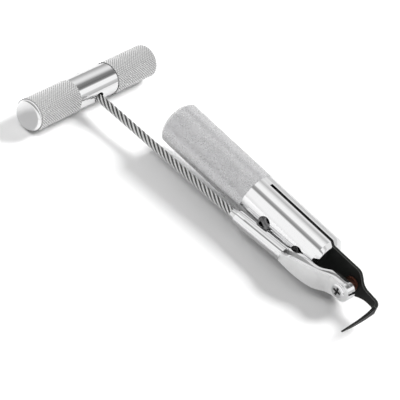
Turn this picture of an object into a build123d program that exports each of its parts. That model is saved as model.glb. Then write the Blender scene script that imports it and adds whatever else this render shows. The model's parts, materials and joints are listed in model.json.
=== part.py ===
from build123d import *
import os
from math import asin, atan2, cos, degrees, hypot, radians, sin, tan

# Windscreen removal knife: a slotted handle that clamps a hooked cold-knife blade, and a pull bar on a
# short wire rope that hangs on the blade's pivot screw.  Millimetres.  Every piece is drawn in the
# handle's own axes: +X from the butt of the handle towards the blade, +Y across the blade's flat, away
# from the pull rope, +Z up.  The finished tool is then tilted by resting_tilt() about the middle of the
# butt face, so that it rests on its pull bar and the lower edge of the handle's nose.

# handle
HANDLE_R = 16.0
NOSE_R = 15.8
HANDLE_LEN = 147.0
GRIP_LEN = 78.8
CORE_R = 11.0
BUTT_CHAMFER = 2.6
NOSE_CHAMFER = 3.0
SLOT_W = 2.6
SLOT_START = 85.8

# clamp screws, tapped into the near half of the slotted nose
CLAMP_X = {"clamp_screw_rear": 101.1, "clamp_screw_front": 131.6}
CLAMP_R = 5.0
CLAMP_HOLE_R = 5.05
CLAMP_LEN = 9.0
HEX_AF = 5.0
HEX_DEPTH = 5.0

# blade
BLADE_T = 2.4
BLADE_HALF = 13.4
BLADE_REAR = 87.8
SHOULDER_TOP_X = 172.8
SHOULDER_BOTTOM_X = 161.5
NECK_TOP_X = 179.6
NECK_TOP_Z = 4.6
NECK_BOTTOM_X = 183.5
NECK_TOP = 3.4
NECK_BOTTOM = -2.8
BEND_X = 189.8
BEND_R = 4.5
FOOT_LEN = 35.2
FOOT_ANGLE = 86.6
FOOT_TIP_T = 1.2

# pivot screw and what is on it
PIVOT_X = 171.1
PIVOT_Z = 1.1
PIN_R = 2.5
PIN_HOLE_R = 2.55
LINK_HOLE_R = 2.6
HEAD_R = 5.3
HEAD_T = 2.5
RECESS_LEN = 6.2
RECESS_W = 1.7
BUSH_R = 4.6
BUSH_FLANGE_R = 5.3
BUSH_FLANGE_T = 1.1
WASHER_R = 5.0
WASHER_T = 1.0
NUT_AF = 8.0
NUT_T = 5.0
PLAY = 0.1

# link: two pressed shells, drawn about the pivot with u running forward along the link
LINK_SLOPE = 5.0
LINK_REAR = -87.0
COVER_REAR = -80.0
TUBE_Y = -21.8
TUBE_R = 5.25
TUBE_WALL = 1.25
TUBE_FRONT = -44.0
PLATE_T = 2.5
EAR_OUT = -14.5
EAR_IN = -7.5
NOSE_PAD_U = 5.2

# ferrule and wire rope
FERRULE_R = 4.0
FERRULE_REAR = -92.0
FERRULE_FRONT = -62.0
ROPE_R = 3.0
ROPE_START_U = -66.0
ROPE_KNEE_U = -96.0

# pull bar
BAR_X = -61.0
BAR_Y = -23.4
BAR_Z = -12.2
BAR_R = 12.0
BAR_HALF = 61.0
NECK_R = 11.4
NECK_HALF = 18.4
BAR_CHAMFER = 2.2
CROSS_R = 4.0
COUNTERBORE_R = 6.0
COUNTERBORE_FLOOR = 5.6
STOP_R = 5.0
STOP_LEN = 4.6
RING_R = 5.6
RING_HOLE_R = 3.3
RING_T = 1.0
ROPE_END = 11.0


def link_place():
    """Location that carries the link's own axes onto the pivot."""
    return Pos(PIVOT_X, 0, PIVOT_Z) * Rot(0, -LINK_SLOPE, 0)


def on_link(u, y=TUBE_Y):
    """A point of the link's centre line in the handle's axes."""
    slope = radians(LINK_SLOPE)
    return (PIVOT_X + u * cos(slope), y, PIVOT_Z + u * sin(slope))


def resting_tilt():
    """Angle that rests the tool on its pull bar and the nose's lower edge, in degrees."""
    edge_x, edge_z = HANDLE_LEN - NOSE_CHAMFER, -NOSE_R
    reach = hypot(edge_x - BAR_X, BAR_Z - edge_z)
    return degrees(asin(BAR_R / reach)) - degrees(atan2(BAR_Z - edge_z, edge_x - BAR_X))


def rod_y(radius, y0, y1, x=0.0, z=0.0):
    """A round bar along Y from y0 to y1."""
    length = y1 - y0
    return Pos(x, (y0 + y1) / 2, z) * Rot(-90, 0, 0) * Cylinder(radius, length)


def rod_x(radius, x0, x1, y=0.0, z=0.0):
    """A round bar along X from x0 to x1."""
    length = x1 - x0
    return Pos((x0 + x1) / 2, y, z) * Rot(0, 90, 0) * Cylinder(radius, length)


def rim(shape, axis, at, size):
    """Chamfer the outermost round edge of shape that lies at one place along an axis."""
    edges = shape.edges().filter_by(GeomType.CIRCLE).filter_by_position(axis, at - 0.01, at + 0.01)
    return chamfer(edges.sort_by(SortBy.RADIUS)[-1], size)


def handle_nose():
    """Polished nose with its core: one turned bar, slotted for the blade and tapped for two screws."""
    bar = rod_x(NOSE_R, GRIP_LEN, HANDLE_LEN) + rod_x(CORE_R, 0, GRIP_LEN)
    bar = rim(bar, Axis.X, HANDLE_LEN, NOSE_CHAMFER)
    slot_len = HANDLE_LEN - SLOT_START + 1
    bar -= Pos(SLOT_START + slot_len / 2, 0, 0) * Box(slot_len, SLOT_W, 2 * HANDLE_R + 2)
    for x in CLAMP_X.values():
        bar -= rod_y(CLAMP_HOLE_R, -HANDLE_R - 1, 0, x)
    return bar


def grip_sleeve():
    """Knurled sleeve, pressed over the core as far as the nose's shoulder."""
    sleeve = rim(rod_x(HANDLE_R, 0, GRIP_LEN), Axis.X, 0, BUTT_CHAMFER)
    return sleeve - rod_x(CORE_R, -1, GRIP_LEN + 1)


def clamp_screw(x):
    """Socket set screw, flat point on the blade's flank."""
    tip = -SLOT_W / 2 - 0.05
    back = tip - CLAMP_LEN
    screw = rod_y(CLAMP_R, back, tip, x)
    edges = screw.edges().filter_by(GeomType.CIRCLE)
    screw = chamfer(edges, 0.6)
    hexagon = extrude(RegularPolygon(HEX_AF / 2, 6, major_radius=False), HEX_DEPTH)
    return screw - Pos(x, back - 0.001, 0) * Rot(-90, 0, 0) * hexagon


def blade():
    """Hooked blade: a flat shank, shoulders that run down to a neck, and a foot bent across."""
    shank = Polyline(
        (BLADE_REAR, BLADE_HALF),
        (SHOULDER_TOP_X, BLADE_HALF),
        (NECK_TOP_X, NECK_TOP_Z),
        (BEND_X, NECK_TOP),
        (BEND_X, NECK_BOTTOM),
        (NECK_BOTTOM_X, NECK_BOTTOM),
        (SHOULDER_BOTTOM_X, -BLADE_HALF),
        (BLADE_REAR, -BLADE_HALF),
        close=True,
    )
    face = make_face(shank)
    rounding = [
        (SHOULDER_TOP_X, BLADE_HALF, 6.0),
        (NECK_TOP_X, NECK_TOP_Z, 8.0),
        (NECK_BOTTOM_X, NECK_BOTTOM, 16.0),
    ]
    for x, z, radius in rounding:
        corner = face.vertices().sort_by_distance((x, z, 0))[0]
        face = fillet(corner, radius)
    for z in (BLADE_HALF, -BLADE_HALF):
        corner = face.vertices().sort_by_distance((BLADE_REAR, z, 0))[0]
        face = fillet(corner, 3.0)
    upright = Plane((0, 0, 0), x_dir=(1, 0, 0), z_dir=(0, -1, 0))
    flat = extrude(upright * face, BLADE_T / 2, both=True)

    # the bend: an arc of the plate's section about a line parallel to Z, then the tapered foot
    centre_y = -BLADE_T / 2 - BEND_R
    neck_h = NECK_TOP - NECK_BOTTOM
    section = Plane((BEND_X, 0, (NECK_TOP + NECK_BOTTOM) / 2), x_dir=(0, 1, 0), z_dir=(1, 0, 0))
    hinge = Axis((BEND_X, centre_y, 0), (0, 0, -1))
    bend = revolve(section * Rectangle(BLADE_T, neck_h), hinge, FOOT_ANGLE)
    upper = Spline((0, NECK_TOP), (2.6, 2.0), (6.0, 0.5), (12.0, -0.4), (24.0, -0.6), (FOOT_LEN, -0.05))
    lower = Spline((FOOT_LEN, -0.45), (24.0, -2.5), (11.0, -3.5), (0, NECK_BOTTOM))
    outline = [upper, Line(upper @ 1, lower @ 0), lower, Line(lower @ 1, upper @ 0)]
    foot = extrude(make_face(outline), BLADE_T / 2, both=True)
    half, tip = BLADE_T / 2, FOOT_TIP_T / 2
    wedge = Polyline((0, half), (FOOT_LEN + 0.1, tip), (FOOT_LEN + 0.1, -tip), (0, -half), close=True)
    foot &= extrude(Plane.XZ * make_face(wedge), 2 * NECK_TOP, both=True)
    turn = radians(FOOT_ANGLE)
    middle = BEND_R + BLADE_T / 2
    start = (BEND_X + middle * sin(turn), centre_y + middle * cos(turn), 0)
    along = (cos(turn), -sin(turn), 0)
    foot = Location(Plane(start, x_dir=along, z_dir=(-sin(turn), -cos(turn), 0))) * foot
    whole = flat + bend + foot
    return whole - rod_y(PIN_HOLE_R, -5, 5, PIVOT_X, PIVOT_Z)


def pivot_screw():
    """Pan-head cross-recess screw, the pivot of the link."""
    under = EAR_OUT - PLAY
    shank = rod_y(PIN_R, under, BLADE_T / 2 + WASHER_T + NUT_T + 1.3)
    head = rod_y(HEAD_R, under - HEAD_T, under)
    edges = head.edges().filter_by(GeomType.CIRCLE).sort_by(Axis.Y)
    head = fillet(edges[0], 1.9)
    recess = Pos(0, under - HEAD_T, 0) * (Box(RECESS_LEN, 2.8, RECESS_W) + Box(RECESS_W, 2.8, RECESS_LEN))
    return Pos(PIVOT_X, 0, PIVOT_Z) * (shank + head - recess)


def pivot_bush():
    """Flanged bronze bush between the link and the blade."""
    back = -BLADE_T / 2
    bush = rod_y(BUSH_R, EAR_IN + PLAY, back) + rod_y(BUSH_FLANGE_R, back - BUSH_FLANGE_T, back)
    return Pos(PIVOT_X, 0, PIVOT_Z) * (bush - rod_y(PIN_R, -20, 20))


def pivot_washer():
    """Plain washer under the nut."""
    face = BLADE_T / 2
    ring = rod_y(WASHER_R, face, face + WASHER_T) - rod_y(PIN_R, -20, 20)
    return Pos(PIVOT_X, 0, PIVOT_Z) * ring


def pivot_nut():
    """Locking nut with a rounded collar."""
    face = BLADE_T / 2 + WASHER_T
    hexagon = extrude(RegularPolygon(NUT_AF / 2, 6, major_radius=False), NUT_T * 0.72)
    nut = Pos(0, face, 0) * Rot(-90, 0, 0) * hexagon
    nut += rod_y(NUT_AF / 2 - 0.4, face, face + NUT_T)
    top = nut.edges().filter_by(GeomType.CIRCLE).sort_by(Axis.Y)[-1]
    nut = fillet(top, 0.9)
    return Pos(PIVOT_X, 0, PIVOT_Z) * (nut - rod_y(PIN_R, -20, 20))


def link_side():
    """The link's outline seen from the side, as a thick block along Y."""
    with BuildSketch(Plane((0, 0, 0), x_dir=(1, 0, 0), z_dir=(0, -1, 0))) as sketch:
        with BuildLine():
            Spline(
                (-48.0, 2.4),
                (-38.0, 5.3),
                (-26.0, 6.5),
                (-12.0, 5.7),
                (0.0, 5.4),
                tangents=[(1, 0.15), (1, -0.02)],
            )
            ThreePointArc((0.0, 5.4), (8.3, -0.8), (0.0, -7.0))
            Spline(
                (0.0, -7.0),
                (-6.0, -7.9),
                (-13.0, -8.8),
                (-20.0, -7.9),
                (-30.0, -5.7),
                (-48.0, -2.2),
                tangents=[(-1, -0.12), (-1, 0.15)],
            )
            Line((-48.0, -2.2), (-48.0, 2.4))
        make_face()
    return extrude(sketch.sketch, 40, both=True)


def plate(rear, bend, shift):
    """One flattened wall of the link: straight beside the ferrule, stepped in by bend, straight at the ear."""
    front = (9.0, bend[-1][1])
    with BuildSketch() as sketch:
        with BuildLine():
            Line(rear, bend[0])
            Spline(*bend, tangents=[(1, 0), (1, 0)])
            Line(bend[-1], front)
            Line(front, (front[0], front[1] + shift))
            Line((front[0], front[1] + shift), (bend[-1][0], bend[-1][1] + shift))
            Spline(*[(u, y + shift) for u, y in reversed(bend)], tangents=[(-1, 0), (-1, 0)])
            Line((bend[0][0], bend[0][1] + shift), (rear[0], rear[1] + shift))
            Line((rear[0], rear[1] + shift), rear)
        make_face()
    return extrude(sketch.sketch, 20, both=True)


def nose_block(y0, y1):
    """Solid that closes the two plates together at the link's nose."""
    return Pos(NOSE_PAD_U + 5, (y0 + y1) / 2, 0) * Box(10, y1 - y0, 30)


def link_near_shell():
    """Outer shell: a cover strip along the ferrule that flattens into the ear under the screw's head."""
    outer = TUBE_Y - TUBE_R + 0.4
    bend = [(-44.0, outer), (-25.0, -23.9), (-14.5, -18.7), (-5.0, EAR_OUT)]
    ear = plate((-48.0, outer), bend, PLATE_T) + nose_block(EAR_OUT, (EAR_OUT + EAR_IN) / 2)
    ear = (ear & link_side()) - rod_y(LINK_HOLE_R, -40, 0)
    strip = rod_x(TUBE_R + 0.25, COVER_REAR, TUBE_FRONT, TUBE_Y) - rod_x(FERRULE_R, -100, 0, TUBE_Y)
    keep = Pos((COVER_REAR + TUBE_FRONT) / 2, TUBE_Y - 10, 0.6) * Box(60, 20 - 2 * 2.2, 8.0)
    return link_place() * (ear + (strip & keep))


def link_far_shell():
    """Inner shell: wraps the ferrule, passes the handle's flank and steps in to the bush."""
    inner = TUBE_Y + TUBE_R - 0.1
    bend = [(-23.0, inner), (-14.5, -11.9), (-6.5, EAR_IN)]
    ear = plate((-48.0, inner), bend, -PLATE_T) + nose_block((EAR_OUT + EAR_IN) / 2, EAR_IN)
    ear = (ear & link_side()) - rod_y(LINK_HOLE_R, -40, 0)
    tube = rod_x(TUBE_R, LINK_REAR, TUBE_FRONT, TUBE_Y) - rod_x(FERRULE_R, -100, 0, TUBE_Y)
    gap_len = TUBE_FRONT - COVER_REAR + 2
    gap_mid = COVER_REAR + gap_len / 2
    opening = Pos(gap_mid, TUBE_Y - 10, 0.6) * Box(gap_len, 20 - 2 * 2.2, 8.02)
    return link_place() * (ear + (tube - opening))


def rope_ferrule():
    """Steel ferrule swaged on the wire rope and held between the shells."""
    sleeve = rod_x(FERRULE_R, FERRULE_REAR, FERRULE_FRONT, TUBE_Y)
    sleeve = rim(sleeve, Axis.X, FERRULE_REAR, 0.5)
    return link_place() * (sleeve - rod_x(ROPE_R, -120, ROPE_START_U, TUBE_Y))


def rope_route():
    """Centre points of the wire rope, from inside the ferrule to its stop in the pull bar."""
    return [
        on_link(ROPE_START_U),
        on_link(ROPE_KNEE_U),
        (43.8, TUBE_Y, -9.2),
        (9.8, TUBE_Y - 0.1, -10.6),
        (-25.2, TUBE_Y - 0.6, -11.6),
        (BAR_X, BAR_Y, BAR_Z),
        (BAR_X - ROPE_END, BAR_Y - 0.38, BAR_Z - 0.13),
    ]


def rope_axis():
    """Unit direction of the rope where it crosses the pull bar, towards its end."""
    last, before = rope_route()[-1], rope_route()[-2]
    return (Vector(*last) - Vector(*before)).normalized()


def wire_rope():
    """The rope as a round tube: straight runs joined by the largest arcs that the runs allow."""
    points = [Vector(*p) for p in rope_route()]
    radii = []
    for a, b, c in zip(points, points[1:], points[2:]):
        half_turn = radians((b - a).get_angle(c - b)) / 2
        shorter = min((b - a).length, (c - b).length)
        radii.append(0.45 * shorter / tan(half_turn))
    path = FilletPolyline(*points, radius=radii)
    print("rope arc radii", [round(r) for r in radii], "length", round(path.length, 1))
    start = Plane(points[0], z_dir=points[1] - points[0])
    rope = sweep(start * Circle(ROPE_R), path)
    print("rope volume / (section x length)", round(rope.volume / (Circle(ROPE_R).area * path.length), 4))
    return rope


def bar_place():
    """Location of the pull bar's centre: local X along the rope towards the blade, local Y level."""
    axis = rope_axis() * -1
    tilt = radians(resting_tilt())
    level = Vector(-sin(tilt), 0, cos(tilt)).cross(axis).normalized()
    return Location(Plane((BAR_X, BAR_Y, BAR_Z), x_dir=axis, z_dir=axis.cross(level)))


def rope_stop():
    """Button swaged on the end of the rope, seated in the pull bar's counterbore."""
    stop = rod_x(STOP_R, -COUNTERBORE_FLOOR - RING_T - 0.3 - STOP_LEN, -COUNTERBORE_FLOOR - RING_T - 0.3)
    stop = rim(stop, Axis.X, -COUNTERBORE_FLOOR - RING_T - 0.3 - STOP_LEN, 0.8)
    return bar_place() * (stop - rod_x(ROPE_R, -ROPE_END, 20))


def bar_ring():
    """Thrust washer on the counterbore's floor, under the rope's stop."""
    ring = rod_x(RING_R, -COUNTERBORE_FLOOR - RING_T, -COUNTERBORE_FLOOR)
    return bar_place() * (ring - rod_x(RING_HOLE_R, -40, 20))


def pull_bar():
    """Turned T-bar: two knurled ends, a polished neck and a cross hole for the rope."""
    quarter = [
        (0, BAR_HALF),
        (BAR_R - BAR_CHAMFER, BAR_HALF),
        (BAR_R, BAR_HALF - BAR_CHAMFER),
        (BAR_R, NECK_HALF + 0.8),
        (NECK_R, NECK_HALF),
    ]
    half = Polyline(*[(x, -y) for x, y in quarter], *reversed(quarter), close=True)
    bar = revolve(make_face(half), Axis.Y)
    bar -= rod_x(CROSS_R, -20, 20)
    bar -= rod_x(COUNTERBORE_R, -20, -COUNTERBORE_FLOOR)
    return bar_place() * bar


PIECES = {
    "handle_nose": handle_nose,
    "grip_sleeve": grip_sleeve,
    "blade": blade,
    "pivot_screw": pivot_screw,
    "pivot_bush": pivot_bush,
    "pivot_washer": pivot_washer,
    "pivot_nut": pivot_nut,
    "link_near_shell": link_near_shell,
    "link_far_shell": link_far_shell,
    "rope_ferrule": rope_ferrule,
    "wire_rope": wire_rope,
    "rope_stop": rope_stop,
    "bar_ring": bar_ring,
    "pull_bar": pull_bar,
}

os.makedirs("parts", exist_ok=True)
tilt = resting_tilt()
placing = Rot(0, tilt, 0)
print("resting tilt of the handle, degrees", round(tilt, 3))
for name, make in PIECES.items():
    export_step(placing * make(), f"parts/{name}.step")
for name, x in CLAMP_X.items():
    export_step(placing * clamp_screw(x), f"parts/{name}.step")

# points and directions for joints and mounts, in the resting frame
grip_middle = (BAR_HALF + NECK_HALF) / 2
for label, place in {
    "pivot": Pos(PIVOT_X, 0, PIVOT_Z),
    "clamp rear": Pos(CLAMP_X["clamp_screw_rear"], 0, 0),
    "clamp front": Pos(CLAMP_X["clamp_screw_front"], 0, 0),
    "bar middle": bar_place(),
    "bar near grip": bar_place() * Pos(0, -grip_middle, 0),
    "bar far grip": bar_place() * Pos(0, grip_middle, 0),
}.items():
    print(label, [round(v / 1000, 6) for v in (placing * place).position])
for label, direction in {
    "handle": Vector(1, 0, 0),
    "rope at the bar": rope_axis(),
    "bar": (bar_place() * Pos(0, 1, 0)).position - bar_place().position,
}.items():
    print(label, "direction", [round(v, 6) for v in (placing * Pos(direction)).position])
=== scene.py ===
import bmesh
import bpy
import json
from math import asin, cos, pi, radians, sin
from mathutils import Matrix, Vector
from mathutils.kdtree import KDTree


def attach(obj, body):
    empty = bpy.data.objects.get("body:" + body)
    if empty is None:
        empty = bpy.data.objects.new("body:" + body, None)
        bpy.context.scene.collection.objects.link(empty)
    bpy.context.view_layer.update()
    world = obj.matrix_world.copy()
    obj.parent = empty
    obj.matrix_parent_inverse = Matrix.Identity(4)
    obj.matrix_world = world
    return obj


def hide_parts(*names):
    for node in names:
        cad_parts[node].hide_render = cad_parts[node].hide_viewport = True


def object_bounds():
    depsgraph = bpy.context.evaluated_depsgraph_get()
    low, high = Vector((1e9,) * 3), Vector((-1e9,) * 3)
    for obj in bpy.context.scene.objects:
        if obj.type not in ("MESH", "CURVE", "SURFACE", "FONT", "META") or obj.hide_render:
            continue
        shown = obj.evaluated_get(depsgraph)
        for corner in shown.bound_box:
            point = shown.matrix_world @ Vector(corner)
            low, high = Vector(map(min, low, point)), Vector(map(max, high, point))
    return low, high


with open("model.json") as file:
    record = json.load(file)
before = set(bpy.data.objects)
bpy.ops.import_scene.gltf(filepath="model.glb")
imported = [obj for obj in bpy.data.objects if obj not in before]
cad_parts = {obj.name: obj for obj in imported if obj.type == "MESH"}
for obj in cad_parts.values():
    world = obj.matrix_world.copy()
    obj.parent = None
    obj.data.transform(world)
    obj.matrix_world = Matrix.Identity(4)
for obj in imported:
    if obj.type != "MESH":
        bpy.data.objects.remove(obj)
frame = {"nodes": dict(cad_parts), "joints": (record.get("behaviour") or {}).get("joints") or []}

cad_box = [list(corner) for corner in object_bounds()]

# ------------------------------------------------------------------------------------------------
# Camera: it looks down on the tool from the blade's side, from far off, so that lines which are
# parallel on the tool stay parallel.
# ------------------------------------------------------------------------------------------------
CAMERA_AZIMUTH = radians(29.9)
CAMERA_ELEVATION = radians(38.6)
CAMERA_ROLL = radians(21.6)
CAMERA_DISTANCE = 2.1
CAMERA_AIM = Vector((0.0545, -0.0253, -0.0175))
CAMERA_LENS = 282.4
CAMERA_SENSOR = 36.0
CAMERA_REACH = 20.0


def placed(name, data):
    """A new object in the scene, which holds a camera, a lamp or a mesh."""
    thing = bpy.data.objects.new(name, data)
    bpy.context.scene.collection.objects.link(thing)
    return thing


camera_data = bpy.data.cameras.new("camera")
camera_data.lens = CAMERA_LENS
camera_data.sensor_width = CAMERA_SENSOR
camera_data.clip_end = CAMERA_REACH
camera = placed("camera", camera_data)
turn = Matrix.Rotation(CAMERA_AZIMUTH, 4, "Z") @ Matrix.Rotation(pi / 2 - CAMERA_ELEVATION, 4, "X")
turn = turn @ Matrix.Rotation(CAMERA_ROLL, 4, "Z")
set_back = Matrix.Translation((0, 0, CAMERA_DISTANCE))
camera.matrix_world = Matrix.Translation(CAMERA_AIM) @ turn @ set_back
bpy.context.scene.camera = camera
bpy.context.scene.view_settings.view_transform = "Standard"

# ------------------------------------------------------------------------------------------------
# Studio: a pale paper floor that the tool lies on, a soft key lamp behind it for the shadow, a
# weak fill lamp, and a white tent with long grey seams, which is what the polished metal mirrors.
# ------------------------------------------------------------------------------------------------
FLOOR_HALF = 3.0
floor_z = cad_box[0][2]
floor_corners = [(-FLOOR_HALF, -FLOOR_HALF, floor_z), (FLOOR_HALF, -FLOOR_HALF, floor_z),
                 (FLOOR_HALF, FLOOR_HALF, floor_z), (-FLOOR_HALF, FLOOR_HALF, floor_z)]
floor_mesh = bpy.data.meshes.new("floor")
floor_mesh.from_pydata(floor_corners, [], [(0, 1, 2, 3)])
floor = placed("floor", floor_mesh)


def new_material(name, **values):
    """A material with one Principled shader, its constant sockets set from values."""
    material = bpy.data.materials.new(name)
    material.use_nodes = True
    shader = material.node_tree.nodes["Principled BSDF"]
    for socket, value in values.items():
        shader.inputs[socket.replace("_", " ")].default_value = value
    return material, shader


def add_node(tree, kind, inputs=None, **settings):
    """One node with its settings; each of its inputs is a value or another node's output."""
    node = tree.nodes.new(kind)
    for setting, value in settings.items():
        setattr(node, setting, value)
    for label, value in (inputs or {}).items():
        if isinstance(value, bpy.types.NodeSocket):
            tree.links.new(value, node.inputs[label])
        else:
            node.inputs[label].default_value = value
    return node


def maths(tree, operation, a, b=0.0, clamp=False):
    """The output of one maths node."""
    return add_node(tree, "ShaderNodeMath", {0: a, 1: b}, operation=operation,
                    use_clamp=clamp).outputs[0]


def mixed(tree, share, first, second, blend="MIX"):
    """The output of one node that mixes two colours."""
    return add_node(tree, "ShaderNodeMixRGB", {"Fac": share, "Color1": first, "Color2": second},
                    blend_type=blend).outputs[0]


# the paper, which the polished metal mirrors as a light grey
PAPER_WHITE = (0.93, 0.93, 0.93, 1)
PAPER_MIRRORED = (0.68, 0.68, 0.68, 1)
paper, paper_shader = new_material("floor paper", Roughness=0.9, Specular_IOR_Level=0.1)
floor_mesh.materials.append(paper)
rays = add_node(paper.node_tree, "ShaderNodeLightPath")
paper_tone = mixed(paper.node_tree, rays.outputs["Is Glossy Ray"], PAPER_WHITE, PAPER_MIRRORED)
paper.node_tree.links.new(paper_tone, paper_shader.inputs["Base Color"])

KEY_POWER = 4.8
KEY_FROM = Vector((0.12, 0.85, 0.58))
KEY_SOFTNESS = radians(24)
FILL_POWER = 1.4
FILL_AT = Vector((-0.28, -0.32, 0.36))
FILL_AIM = Vector((-0.08, -0.08, 0.0))
FILL_SIZE = 0.3


def studio_lamp(name, kind, power, comes_from, at=Vector()):
    """A lamp whose light comes from one direction, and which the metal doesn't mirror."""
    light = bpy.data.lights.new(name, kind)
    light.energy = power
    lamp = placed(name, light)
    aim = comes_from.to_track_quat("Z", "Y").to_matrix().to_4x4()
    lamp.matrix_world = Matrix.Translation(at) @ aim
    lamp.visible_glossy = False
    return light


studio_lamp("key lamp", "SUN", KEY_POWER, KEY_FROM).angle = KEY_SOFTNESS
studio_lamp("fill lamp", "AREA", FILL_POWER, FILL_AT - FILL_AIM, FILL_AT).size = FILL_SIZE

# the tent's brightness from the horizon behind the tool (0), over the tool, to the horizon in front
# of it (1), and one end panel, END_Y across, that only things lying across the tool mirror
TENT_SIDES = [(0.0, 0.62), (0.13, 0.66), (0.18, 0.85), (0.34, 0.85), (0.395, 0.52), (0.45, 0.80),
              (0.5, 1.0), (0.585, 1.0), (0.62, 0.42), (0.68, 0.26), (0.70, 0.4), (0.73, 1.0),
              (0.95, 1.0), (1.0, 0.85)]
TENT_END = [(0.0, 0.50), (0.12, 0.62), (0.17, 1.0), (0.31, 1.0), (0.36, 0.26), (0.42, 0.16),
            (0.54, 0.26), (0.62, 0.70), (0.68, 0.86), (0.75, 0.82), (0.83, 0.62), (0.9, 0.46),
            (1.0, 0.42)]
END_Y = 0.69
END_FADE = (0.13, 0.08)
ROOM_TONE = (0.36, 0.36, 0.36, 1)
world = bpy.data.worlds.new("studio")
bpy.context.scene.world = world
world.use_nodes = True
sky = world.node_tree
sky.nodes.clear()
coords = add_node(sky, "ShaderNodeTexCoord")
parts = add_node(sky, "ShaderNodeSeparateXYZ", {0: coords.outputs["Generated"]})


def panels(across, stops):
    """The tent's brightness round one axis, from (place, value) stops."""
    share = maths(sky, "DIVIDE", maths(sky, "ARCTAN2", parts.outputs["Z"], across), pi)
    tent = add_node(sky, "ShaderNodeValToRGB", {0: share})
    ramp = tent.color_ramp.elements
    while len(ramp) < len(stops):
        ramp.new(0.5)
    for element, (place, value) in zip(ramp, stops):
        element.position = place
        element.color = (value, value, value, 1)
    return tent.outputs[0]


off_end = maths(sky, "ABSOLUTE", maths(sky, "SUBTRACT", parts.outputs["Y"], END_Y))
at_end = add_node(sky, "ShaderNodeMapRange",
                  {"Value": off_end, "From Min": END_FADE[0], "From Max": END_FADE[1]})
tent = mixed(sky, at_end.outputs[0], panels(parts.outputs["Y"], TENT_SIDES),
             panels(parts.outputs["X"], TENT_END))
rays = add_node(sky, "ShaderNodeLightPath")
seen = mixed(sky, rays.outputs["Is Glossy Ray"], ROOM_TONE, tent)
background = add_node(sky, "ShaderNodeBackground", {"Color": seen})
add_node(sky, "ShaderNodeOutputWorld", {"Surface": background.outputs[0]})

# ------------------------------------------------------------------------------------------------
# Handle nose: the polished front half of the handle, turned from aluminium bar, buffed to a
# mirror and slotted for the blade.  Its core carries the knurled sleeve.
# ------------------------------------------------------------------------------------------------
MM = 0.001
joints = {joint["name"]: joint for joint in frame["joints"]}
# the blade slides out along the handle's centre line, which starts at the frame's origin
handle_line = Vector(joints["blade_slide"]["axis"]).normalized()
handle_tilt = asin(-handle_line.z)


def effect(name, inputs, outputs):
    """An empty shader node group with its inputs and outputs, and its two end nodes."""
    made = bpy.data.node_groups.new(name, "ShaderNodeTree")
    for label, kind, value in inputs:
        socket = made.interface.new_socket(label, in_out="INPUT", socket_type=kind)
        if value is not None:
            socket.default_value = value
    for label, kind in outputs:
        made.interface.new_socket(label, in_out="OUTPUT", socket_type=kind)
    return made, made.nodes.new("NodeGroupInput"), made.nodes.new("NodeGroupOutput")


# handling marks: broad soft patches and fine grain, as a roughness, a colour and a height
PATCH_DETAIL = 3
GRAIN_DETAIL = 2
NOISE_MIDDLE = 0.5
handled, given, result = effect(
    "handling marks",
    [("Vector", "NodeSocketVector", None), ("Roughness", "NodeSocketFloat", 0.1),
     ("Patches", "NodeSocketFloat", 0.05), ("Patch scale", "NodeSocketFloat", 60.0),
     ("Grain", "NodeSocketFloat", 0.02), ("Grain scale", "NodeSocketFloat", 900.0),
     ("Tone", "NodeSocketColor", (0.8, 0.8, 0.8, 1)), ("Tone change", "NodeSocketFloat", 0.1)],
    [("Roughness", "NodeSocketFloat"), ("Color", "NodeSocketColor"),
     ("Height", "NodeSocketFloat")])
patches = add_node(handled, "ShaderNodeTexNoise",
                   {"Vector": given.outputs["Vector"], "Scale": given.outputs["Patch scale"],
                    "Detail": PATCH_DETAIL})
grain = add_node(handled, "ShaderNodeTexNoise",
                 {"Vector": given.outputs["Vector"], "Scale": given.outputs["Grain scale"],
                  "Detail": GRAIN_DETAIL})
rough = given.outputs["Roughness"]
for noise, amount in ((patches, "Patches"), (grain, "Grain")):
    centred = maths(handled, "ADD", noise.outputs[0], -NOISE_MIDDLE)
    swing = maths(handled, "MULTIPLY", centred, given.outputs[amount])
    rough = maths(handled, "ADD", rough, swing, clamp=True)
tone = mixed(handled, given.outputs["Tone change"], given.outputs["Tone"], patches.outputs[0],
             "MULTIPLY")
for label, value in (("Roughness", rough), ("Color", tone), ("Height", grain.outputs[0])):
    handled.links.new(value, result.inputs[label])


def finish(name, tone, roughness, metallic=1.0, stretch=(1, 1, 1), patches=0.06,
           patch_scale=70.0, grain=0.03, grain_scale=1500.0, tone_change=0.1, bump=0.05,
           bump_mm=0.01, aligned=True, **sockets):
    """A metal finish: handling marks on object coordinates.  Where it is aligned, they are
    turned so that X runs along the handle."""
    material, shader = new_material(name, Metallic=metallic, **sockets)
    tree = material.node_tree
    coords = add_node(tree, "ShaderNodeTexCoord")
    mapping = add_node(tree, "ShaderNodeMapping",
                       {"Vector": coords.outputs["Object"], "Scale": stretch,
                        "Rotation": (0, -handle_tilt if aligned else 0, 0)})
    marks = add_node(tree, "ShaderNodeGroup",
                     {"Vector": mapping.outputs[0], "Roughness": roughness, "Patches": patches,
                      "Patch scale": patch_scale, "Grain": grain, "Grain scale": grain_scale,
                      "Tone": (*tone, 1), "Tone change": tone_change}, node_tree=handled)
    height = add_node(tree, "ShaderNodeBump", {"Strength": bump, "Distance": bump_mm * MM,
                                               "Height": marks.outputs["Height"]})
    tree.links.new(marks.outputs["Color"], shader.inputs["Base Color"])
    tree.links.new(marks.outputs["Roughness"], shader.inputs["Roughness"])
    tree.links.new(height.outputs[0], shader.inputs["Normal"])
    return material


def settle(piece):
    """Turn a piece's modifiers into plain mesh."""
    graph = bpy.context.evaluated_depsgraph_get()
    graph.update()
    solid = bpy.data.meshes.new_from_object(piece.evaluated_get(graph))
    piece.modifiers.clear()
    piece.data = solid


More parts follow.
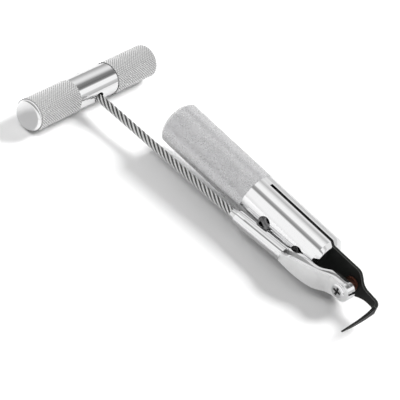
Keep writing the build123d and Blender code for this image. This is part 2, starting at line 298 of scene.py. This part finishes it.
# a piece's edges are the folds sharper than SHARP; flatter ones than FLAT are not folds at all
SHARP = radians(28.0)
FLAT = radians(0.5)
SAME_POINT = 0.002 * MM
NO_LENGTH = 0.001 * MM


def dressed(node, body, materials, edge, reshape=None, segments=2, edge_material=0, paint=None):
    """A smooth copy of one CAD node with its edges broken by edge millimetres.  reshape moves
    its points, and paint picks the material of each face from the face's middle and normal."""
    mesh = frame["nodes"][node].data.copy()
    mesh.name = node + "_skin"
    mesh.materials.clear()
    shape = bmesh.new()
    shape.from_mesh(mesh)
    bmesh.ops.remove_doubles(shape, verts=shape.verts, dist=SAME_POINT)
    bmesh.ops.dissolve_degenerate(shape, edges=shape.edges, dist=NO_LENGTH)
    if reshape:
        for vert in shape.verts:
            vert.co = reshape(vert.co)
    bmesh.ops.dissolve_limit(shape, angle_limit=FLAT, verts=shape.verts, edges=shape.edges)
    for face in shape.faces:
        face.smooth = True
        face.material_index = paint(face.calc_center_median(), face.normal) if paint else 0
    shape.to_mesh(mesh)
    shape.free()
    for material in materials:
        mesh.materials.append(material)
    mesh.set_sharp_from_angle(angle=SHARP)
    piece = placed(node + "_skin", mesh)
    bevel = piece.modifiers.new("broken edges", "BEVEL")
    bevel.width = edge * MM
    bevel.segments = segments
    bevel.limit_method = "ANGLE"
    bevel.angle_limit = SHARP
    bevel.use_clamp_overlap = True
    bevel.harden_normals = True
    bevel.material = edge_material
    settle(piece)
    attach(piece, body)
    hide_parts(node)
    return piece


mirror_polish = finish("mirror polished aluminium", (0.93, 0.93, 0.935), 0.07, patches=0.05,
                       grain=0.02, stretch=(40, 1, 1), grain_scale=260.0, tone_change=0.06,
                       bump=0.03)
nose = dressed("handle_nose", "handle", [mirror_polish], edge=0.2)

# ------------------------------------------------------------------------------------------------
# Grip sleeve: an aluminium tube, bead-blasted satin and pressed on the core.  Its fine knurl is
# rows of small pyramids, rolled into it by two crossed sets of grooves.
# ------------------------------------------------------------------------------------------------
GRIP_R = 16.0
GRIP_LEN = 78.8
GRIP_CHAMFER = 2.6
GRIP_PITCH = 1.0
GRIP_DEPTH = 0.30
GRIP_UNDER = 0.42
SKIN_BAND = 0.2
KNURL_WELD = 0.005 * MM

# one Geometry Nodes tree wraps a grid round an axis and presses every other point in,
# checkerboard fashion
knurl_tree = bpy.data.node_groups.new("diamond knurl", "GeometryNodeTree")
knurl_ends = knurl_tree.interface
knurl_ends.new_socket("Geometry", in_out="INPUT", socket_type="NodeSocketGeometry")
for label, kind, value in (("Length", "NodeSocketFloat", 0.07),
                           ("Radius", "NodeSocketFloat", 0.016),
                           ("Depth", "NodeSocketFloat", 0.0003),
                           ("Rows along", "NodeSocketInt", 160),
                           ("Points round", "NodeSocketInt", 224)):
    knurl_ends.new_socket(label, in_out="INPUT", socket_type=kind).default_value = value
knurl_ends.new_socket("Material", in_out="INPUT", socket_type="NodeSocketMaterial")
knurl_ends.new_socket("Geometry", in_out="OUTPUT", socket_type="NodeSocketGeometry")
knurl_in = add_node(knurl_tree, "NodeGroupInput").outputs
knurl_out = add_node(knurl_tree, "NodeGroupOutput")
columns = maths(knurl_tree, "ADD", knurl_in["Points round"], 1)
rows = maths(knurl_tree, "ADD", knurl_in["Rows along"], 1)
grid = add_node(knurl_tree, "GeometryNodeMeshGrid",
                {"Size X": 1.0, "Size Y": 1.0, "Vertices X": columns, "Vertices Y": rows})
point = add_node(knurl_tree, "GeometryNodeInputIndex").outputs[0]
column = maths(knurl_tree, "FLOOR",
               maths(knurl_tree, "DIVIDE", maths(knurl_tree, "ADD", point, 0.5), rows))
row = maths(knurl_tree, "SUBTRACT", point, maths(knurl_tree, "MULTIPLY", column, rows))
pressed = maths(knurl_tree, "MODULO", maths(knurl_tree, "ADD", row, column), 2)
radius = maths(knurl_tree, "SUBTRACT", knurl_in["Radius"],
               maths(knurl_tree, "MULTIPLY", pressed, knurl_in["Depth"]))
theta = maths(knurl_tree, "MULTIPLY",
              maths(knurl_tree, "DIVIDE", column, knurl_in["Points round"]), 2 * pi)
share = maths(knurl_tree, "DIVIDE", row, knurl_in["Rows along"])
run = maths(knurl_tree, "MULTIPLY", maths(knurl_tree, "SUBTRACT", share, 0.5),
            knurl_in["Length"])
place = add_node(knurl_tree, "ShaderNodeCombineXYZ", {
    "X": run,
    "Y": maths(knurl_tree, "MULTIPLY", radius, maths(knurl_tree, "COSINE", theta)),
    "Z": maths(knurl_tree, "MULTIPLY", radius, maths(knurl_tree, "SINE", theta))})
grooves = add_node(knurl_tree, "GeometryNodeStoreNamedAttribute",
                   {"Geometry": grid.outputs["Mesh"], "Name": "groove", "Value": pressed},
                   data_type="FLOAT", domain="POINT")
wrap = add_node(knurl_tree, "GeometryNodeSetPosition",
                {"Geometry": grooves.outputs[0], "Position": place.outputs[0]})
close = add_node(knurl_tree, "GeometryNodeMergeByDistance",
                 {"Geometry": wrap.outputs[0], "Distance": KNURL_WELD})
real = add_node(knurl_tree, "GeometryNodeRealizeInstances", {0: close.outputs[0]})
coat = add_node(knurl_tree, "GeometryNodeSetMaterial",
                {"Geometry": real.outputs[0], "Material": knurl_in["Material"]})
knurl_tree.links.new(coat.outputs[0], knurl_out.inputs[0])


def knurl(name, length, radius, depth, pitch, material, place):
    """A knurled skin round its local X, settled to a mesh and put in place."""
    half = pitch / 2
    values = {"Length": length * MM, "Radius": radius * MM, "Depth": depth * MM,
              "Rows along": max(2, round(length / half)),
              "Points round": 2 * round(pi * radius / half), "Material": material}
    carrier = placed(name, bpy.data.meshes.new(name))
    modifier = carrier.modifiers.new("knurl", "NODES")
    modifier.node_group = knurl_tree
    for item in knurl_tree.interface.items_tree:
        if item.in_out == "INPUT" and item.name in values:
            modifier[item.identifier] = values[item.name]
    settle(carrier)
    carrier.data.transform(place)
    shape = bmesh.new()
    shape.from_mesh(carrier.data)
    # each square is cut between its two pressed corners, so that every raised point is a pyramid
    mark = shape.verts.layers.float["groove"]
    cuts = [[vert for vert in face.verts if vert[mark] > 0.5] for face in shape.faces]
    for face, cut in zip(list(shape.faces), cuts):
        if len(face.verts) == 4 and len(cut) == 2:
            bmesh.utils.face_split(face, *cut)
    bmesh.ops.recalc_face_normals(shape, faces=shape.faces)
    # the skin is open at its ends, so one face tells whether all of them point outwards
    axis = (place.to_3x3() @ Vector((1, 0, 0))).normalized()
    shape.faces.ensure_lookup_table()
    face = shape.faces[0]
    out = face.calc_center_median() - place.translation
    out -= axis * out.dot(axis)
    if face.normal.dot(out) < 0:
        bmesh.ops.reverse_faces(shape, faces=shape.faces)
    shape.to_mesh(carrier.data)
    shape.free()
    return carrier


# painted shade in grooves: the deeper a point is, the nearer its colour is to the painted shade
# tone
groove_shade_group, given, result = effect(
    "shade in grooves",
    [("Tone", "NodeSocketColor", (0.8, 0.8, 0.8, 1)), ("Depth", "NodeSocketFloat", 0.0),
     ("Painted shade tone", "NodeSocketColor", (0.5, 0.5, 0.5, 1)), ("Power", "NodeSocketFloat", 1.0)],
    [("Color", "NodeSocketColor")])
deep = maths(groove_shade_group, "POWER", given.outputs["Depth"], given.outputs["Power"])
groove_shade_group.links.new(mixed(groove_shade_group, deep, given.outputs["Tone"], given.outputs["Painted shade tone"]),
                  result.inputs["Color"])


def paint_groove_shade(material, tone, power):
    """Paint shade into a finish where the mesh's own groove attribute says that it is deep."""
    tree = material.node_tree
    base = tree.nodes["Principled BSDF"].inputs["Base Color"]
    depth = add_node(tree, "ShaderNodeAttribute", attribute_name="groove")
    shade = add_node(tree, "ShaderNodeGroup",
                     {"Tone": base.links[0].from_socket, "Depth": depth.outputs["Fac"],
                      "Painted shade tone": (*tone, 1), "Power": power}, node_tree=groove_shade_group)
    tree.links.new(shade.outputs["Color"], base)


SPECKLE = 0.3
SPECKLE_SCALE = 1150.0
SPECKLE_FROM = 0.35
SPECKLE_TO = 0.60


def speckle(material):
    """Darken a finish in small spots, as bead blasting leaves it."""
    tree = material.node_tree
    base = tree.nodes["Principled BSDF"].inputs["Base Color"]
    spots = add_node(tree, "ShaderNodeTexNoise",
                     {"Vector": tree.nodes["Mapping"].outputs[0], "Scale": SPECKLE_SCALE,
                      "Detail": 1})
    depth = add_node(tree, "ShaderNodeMapRange",
                     {"Value": spots.outputs[0], "From Min": SPECKLE_FROM,
                      "From Max": SPECKLE_TO, "To Min": 1 - SPECKLE})
    spotted = mixed(tree, 1.0, base.links[0].from_socket, depth.outputs[0], "MULTIPLY")
    tree.links.new(spotted, base)


satin = finish("satin fine knurled aluminium", (1.0, 1.0, 1.0), 0.28, metallic=0.6, patches=0.1,
               patch_scale=90, grain=0.1, tone_change=0.06, bump=0.2)
speckle(satin)
# painted shade: the knurl's pressed-in points are coloured darker
paint_groove_shade(satin, (0.50, 0.50, 0.52), 3.0)


def under_knurl(point):
    """Draw the sleeve's outside in, to leave room for the knurl."""
    foot = handle_line * point.dot(handle_line)
    out = (point - foot).length / MM
    if out < GRIP_R - SKIN_BAND:
        return point
    return foot + (point - foot) * ((GRIP_R - GRIP_UNDER) / out)


sleeve = dressed("grip_sleeve", "handle", [satin], edge=0.25, reshape=under_knurl)
handle_axes = Matrix.Rotation(handle_tilt, 4, "Y")
knurl_len = GRIP_LEN - GRIP_CHAMFER
knurl_middle = Matrix.Translation(((GRIP_CHAMFER + knurl_len / 2) * MM, 0, 0))
grip_knurl = knurl("grip_knurl", knurl_len, GRIP_R, GRIP_DEPTH, GRIP_PITCH, satin,
                   handle_axes @ knurl_middle)
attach(grip_knurl, "handle")
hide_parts("grip_sleeve")

# ------------------------------------------------------------------------------------------------
# Clamp screws: two black oxide socket set screws in tapped holes.  Their flat points hold the
# blade in its slot, and their outer ends are painted lighter as a highlight.
# ------------------------------------------------------------------------------------------------
SCREW_BACK = -10.35
SCREW_RIM = 0.55
FACING_OUT = -0.5
black_screw = finish("black oxide screw", (0.05, 0.05, 0.05), 0.3, patches=0.1, grain=0.1,
                     tone_change=0.4)
# painted highlight: a lighter, less metallic face on each screw's outer end
screw_face_highlight = finish("screw face painted highlight", (0.62, 0.62, 0.62), 0.3, metallic=0.3, patches=0.15,
                   patch_scale=900, tone_change=0.6)


def screw_face(centre, normal):
    """The outer end of a clamp screw, painted lighter as a highlight; its socket and sides stay
    black.
    """
    return 1 if centre.y / MM < SCREW_BACK + SCREW_RIM and normal.y < FACING_OUT else 0


for end in ("rear", "front"):
    screw = dressed("clamp_screw_" + end, "clamp_" + end, [black_screw, screw_face_highlight], edge=0.2,
                    edge_material=1, paint=screw_face)

# ------------------------------------------------------------------------------------------------
# Blade: hardened steel plate, blacked, clamped in the handle's slot.  Its foot is bent across,
# and its edges are painted a lighter grey as a highlight.
# ------------------------------------------------------------------------------------------------
black_steel = finish("blacked steel", (0.012, 0.013, 0.012), 0.45, metallic=0.0, patches=0.15,
                     patch_scale=110, grain=0.1, tone_change=0.5, bump=0.25, bump_mm=0.02,
                     Specular_IOR_Level=0.22)
# painted highlight: the blade's bevelled edges get this lighter grey
edge_highlight = finish("blade edge painted highlight", (0.20, 0.20, 0.20), 0.3, metallic=0.9, tone_change=0.4)
blade = dressed("blade", "blade", [black_steel, edge_highlight], edge=0.16, edge_material=1,
                segments=1)

# ------------------------------------------------------------------------------------------------
# Pivot: a chromed pan-head screw through the link, a turned bronze bush and the blade.  A zinc
# plated washer and locking nut hold it from behind.
# ------------------------------------------------------------------------------------------------
HEAD_FACE = -17.1
RECESS_R = 3.2
RECESS_TOP = 0.1
RECESS_FLOOR = 1.5
pivot = Vector(joints["link_pivot"]["pos_m"])
chrome = finish("bright chrome plate", (0.90, 0.90, 0.905), 0.06, patches=0.05, grain=0.02,
                tone_change=0.05, bump=0.04)
zinc = finish("bright zinc plate", (0.78, 0.79, 0.80), 0.24, patches=0.1, grain=0.06,
              tone_change=0.15)
bronze = finish("turned bronze", (0.22, 0.10, 0.07), 0.42, patches=0.15, patch_scale=400,
                grain=0.1, tone_change=0.5)
# painted shade: near-black colour for the screw head's cross recess
recess_shade = finish("painted shade in the recess", (0.02, 0.02, 0.02), 0.6, metallic=0.0, tone_change=0.5)


def recess(centre, normal):
    """The cross recess in the screw's head, painted dark as shade."""
    out = centre - pivot
    across = Vector((out.x, 0, out.z)).length / MM
    depth = centre.y / MM - HEAD_FACE
    return 1 if across < RECESS_R and RECESS_TOP < depth < RECESS_FLOOR else 0


pin = dressed("pivot_screw", "blade", [chrome, recess_shade], edge=0.08, paint=recess)
bush = dressed("pivot_bush", "blade", [bronze], edge=0.15)
for node in ("pivot_washer", "pivot_nut"):
    dressed(node, "blade", [zinc], edge=0.12)

# ------------------------------------------------------------------------------------------------
# Link: two chromed pressed-steel shells, closed round the rope's ferrule and flattened to an ear
# at the pivot.  The plate on the flattened walls is duller than on the tube.
# ------------------------------------------------------------------------------------------------
FLATTENED_FROM = 126.0
dull_chrome = finish("dulled chrome plate", (1.0, 1.0, 1.0), 0.3, metallic=0.35, patches=0.04,
                     patch_scale=300, grain=0.05, tone_change=0.1)


def flat_wall(centre, normal):
    """The outward sides of the link's walls ahead of its tube."""
    return 1 if centre.x / MM > FLATTENED_FROM and normal.y < FACING_OUT else 0


for node in ("link_far_shell", "link_near_shell"):
    shell = dressed(node, "link", [chrome, dull_chrome], edge=0.3, segments=3, paint=flat_wall)

# ------------------------------------------------------------------------------------------------
# Ferrule and stop: plated steel sleeves swaged on the rope's two ends.  The link holds the
# ferrule, and the stop sits in the pull bar's counterbore.
# ------------------------------------------------------------------------------------------------
swaged = finish("swaged steel", (0.82, 0.82, 0.82), 0.18, patches=0.1, grain=0.05,
                tone_change=0.15)
for node in ("rope_ferrule", "rope_stop"):
    dressed(node, "link", [swaged], edge=0.2)

# ------------------------------------------------------------------------------------------------
# Wire rope: galvanised steel, six strands of six wires round a core, in right-hand lay.  It runs
# from inside the ferrule to its stop in the pull bar.
# ------------------------------------------------------------------------------------------------
ROPE_R = 3.0
ROPE_LAY = 27.0
STRANDS = 6
STRAND_R = 0.97
WIRES = 6
WIRE_R = 0.34
WIRE_LAY = 11.0
WIRE_STEPS = 210
WIRE_SIDES = 6
CORE_R = 1.35
CORE_SIDES = 10
CORE_STRIDE = 4
PIVOT_X = 171.1
PIVOT_Z = 1.1
LINK_SLOPE = radians(5.0)
ROPE_Y = -21.8
BAR_X = -61.0
BAR_Y = -23.4
BAR_Z = -12.2


def on_tool(x, y, z):
    """A point in millimetres from the butt along the handle, across it and up, in the frame."""
    return handle_axes @ Vector((x * MM, y * MM, z * MM))


def on_link(u):
    """A point on the link's centre line, u millimetres ahead of the pivot."""
    return PIVOT_X + u * cos(LINK_SLOPE), ROPE_Y, PIVOT_Z + u * sin(LINK_SLOPE)


rope_route = [on_tool(*point) for point in (
    on_link(-66.0),
    on_link(-96.0),
    (43.8, ROPE_Y, -9.2),
    (9.8, ROPE_Y - 0.1, -10.6),
    (-25.2, ROPE_Y - 0.6, -11.6),
    (BAR_X, BAR_Y, BAR_Z),
    (BAR_X - 11.0, BAR_Y - 0.38, BAR_Z - 0.13),
)]
route_curve = bpy.data.curves.new("rope_route", "CURVE")
route_curve.dimensions = "3D"
spline = route_curve.splines.new("NURBS")
spline.points.add(len(rope_route) - 1)
for knot, point in zip(spline.points, rope_route):
    knot.co = (*point, 1)
spline.order_u = 3
spline.use_endpoint_u = True
spline.resolution_u = 48
route = placed("rope_route", route_curve)
graph = bpy.context.evaluated_depsgraph_get()
line_mesh = bpy.data.meshes.new_from_object(route.evaluated_get(graph))
line = [vert.co.copy() for vert in line_mesh.vertices]
bpy.data.objects.remove(route)
bpy.data.meshes.remove(line_mesh)
distance = [0.0]
for a, b in zip(line, line[1:]):
    distance.append(distance[-1] + (b - a).length)
rope_length = distance[-1]


def along_rope(s):
    """Point, side and up at a distance s along the rope's centre line."""
    s = min(max(s, 0.0), rope_length)
    k = next((i for i in range(1, len(distance)) if distance[i] >= s), len(distance) - 1)
    span = distance[k] - distance[k - 1]
    point = line[k - 1].lerp(line[k], (s - distance[k - 1]) / span)
    ahead = (line[k] - line[k - 1]).normalized()
    side = ahead.cross(Vector((0, 0, 1))).normalized()
    return point, side, side.cross(ahead)


def wire_path(strand_phase, wire_phase):
    """Centre points of one wire: a helix about its strand, which is a helix about the rope."""
    points = []
    strand_out = (ROPE_R - STRAND_R) * MM
    wire_out = (STRAND_R - WIRE_R) * MM
    for i in range(WIRE_STEPS + 1):
        s = rope_length * i / WIRE_STEPS
        point, side, up = along_rope(s)
        big = strand_phase - 2 * pi * s / (ROPE_LAY * MM)
        out = side * cos(big) + up * sin(big)
        across = -side * sin(big) + up * cos(big)
        small = wire_phase + 2 * pi * s / (WIRE_LAY * MM)
        points.append(point + out * (strand_out + wire_out * cos(small))
                      + across * wire_out * sin(small))
    return points


def tube_from(shape, points, radius, sides):
    """Skin a path with a round tube, closed at both ends."""
    rings = []
    for i, point in enumerate(points):
        ahead = (points[min(i + 1, len(points) - 1)] - points[max(i - 1, 0)]).normalized()
        side = ahead.cross(Vector((0, 0, 1))).normalized()
        up = side.cross(ahead)
        turns = [2 * pi * k / sides for k in range(sides)]
        rings.append([shape.verts.new(point + (side * cos(t) + up * sin(t)) * radius)
                      for t in turns])
    for a, b in zip(rings, rings[1:]):
        for k in range(sides):
            face = shape.faces.new((a[k], a[(k + 1) % sides], b[(k + 1) % sides], b[k]))
            face.smooth = True
    shape.faces.new(rings[0][::-1])
    shape.faces.new(rings[-1])


rope_wire = finish("galvanised wire", (0.97, 0.97, 0.97), 0.22, patches=0.12, patch_scale=120,
                   grain=0.08, tone_change=0.12, aligned=False)
# painted shade: the wire is coloured near black where it lies deep between the strands
paint_groove_shade(rope_wire, (0.015, 0.015, 0.015), 1.0)
rope_mesh = bpy.data.meshes.new("rope_strands")
shape = bmesh.new()
for strand in range(STRANDS):
    for wire in range(WIRES):
        path = wire_path(2 * pi * strand / STRANDS, 2 * pi * wire / WIRES)
        tube_from(shape, path, WIRE_R * MM, WIRE_SIDES)
tube_from(shape, line[::CORE_STRIDE] + [line[-1]], CORE_R * MM, CORE_SIDES)
bmesh.ops.recalc_face_normals(shape, faces=shape.faces)
shape.to_mesh(rope_mesh)
shape.free()
# painted shade between the strands: the nearer the rope's middle, the darker
GROOVE_TOP = 2.85
GROOVE_FLOOR = 2.3
centre_line = KDTree(len(line))
for index, point in enumerate(line):
    centre_line.insert(point, index)
centre_line.balance()
groove = rope_mesh.attributes.new("groove", "FLOAT", "POINT")
for vert, mark in zip(rope_mesh.vertices, groove.data):
    _, index, _ = centre_line.find(vert.co)
    ahead = (line[min(index + 1, len(line) - 1)] - line[max(index - 1, 0)]).normalized()
    out = vert.co - line[index]
    out -= ahead * out.dot(ahead)
    depth = (GROOVE_TOP - out.length / MM) / (GROOVE_TOP - GROOVE_FLOOR)
    mark.value = min(max(depth, 0.0), 1.0)
rope_mesh.materials.append(rope_wire)
rope = placed("rope_strands", rope_mesh)
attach(rope, "link")
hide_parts("wire_rope")

# ------------------------------------------------------------------------------------------------
# Pull bar: turned aluminium with a polished neck that the rope passes through, and a coarse satin
# knurl at both ends.  A thrust ring between it and the rope's stop lets it turn.
# ------------------------------------------------------------------------------------------------
BAR_R = 12.0
BAR_PITCH = 2.0
BAR_DEPTH = 0.50
BAR_UNDER = 0.65
BAR_SPANS = {"near": (-58.8, -19.2), "far": (19.2, 58.8)}
coarse = finish("satin diamond knurled aluminium", (1.0, 1.0, 1.0), 0.26, metallic=0.55,
                patches=0.1, patch_scale=90, grain=0.1, tone_change=0.06, bump=0.2)
# painted shade: the coarse knurl's pressed-in points are coloured darker
paint_groove_shade(coarse, (0.20, 0.20, 0.20), 2.0)
bar_middle = on_tool(BAR_X, BAR_Y, BAR_Z)
rope_line = Vector(joints["bar_swivel"]["axis"])
bar_line = rope_line.cross(Vector((0, 0, 1))).normalized()


def under_bar_knurl(point):
    """Draw the bar's two thick ends in, to leave room for the knurl."""
    across = point - bar_middle
    across -= bar_line * across.dot(bar_line)
    out = across.length / MM
    if out < BAR_R - SKIN_BAND:
        return point
    return point - across * (BAR_UNDER / out)


bar = dressed("pull_bar", "bar", [mirror_polish], edge=0.2, reshape=under_bar_knurl)
for end, (start, stop) in BAR_SPANS.items():
    middle = bar_middle + bar_line * (start + stop) / 2 * MM
    place = Matrix.Translation(middle) @ bar_line.to_track_quat("X", "Z").to_matrix().to_4x4()
    skin = knurl("bar_knurl_" + end, stop - start, BAR_R, BAR_DEPTH, BAR_PITCH, coarse, place)
    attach(skin, "bar")
    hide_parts("pull_bar")
ring = dressed("bar_ring", "bar", [zinc], edge=0.1)
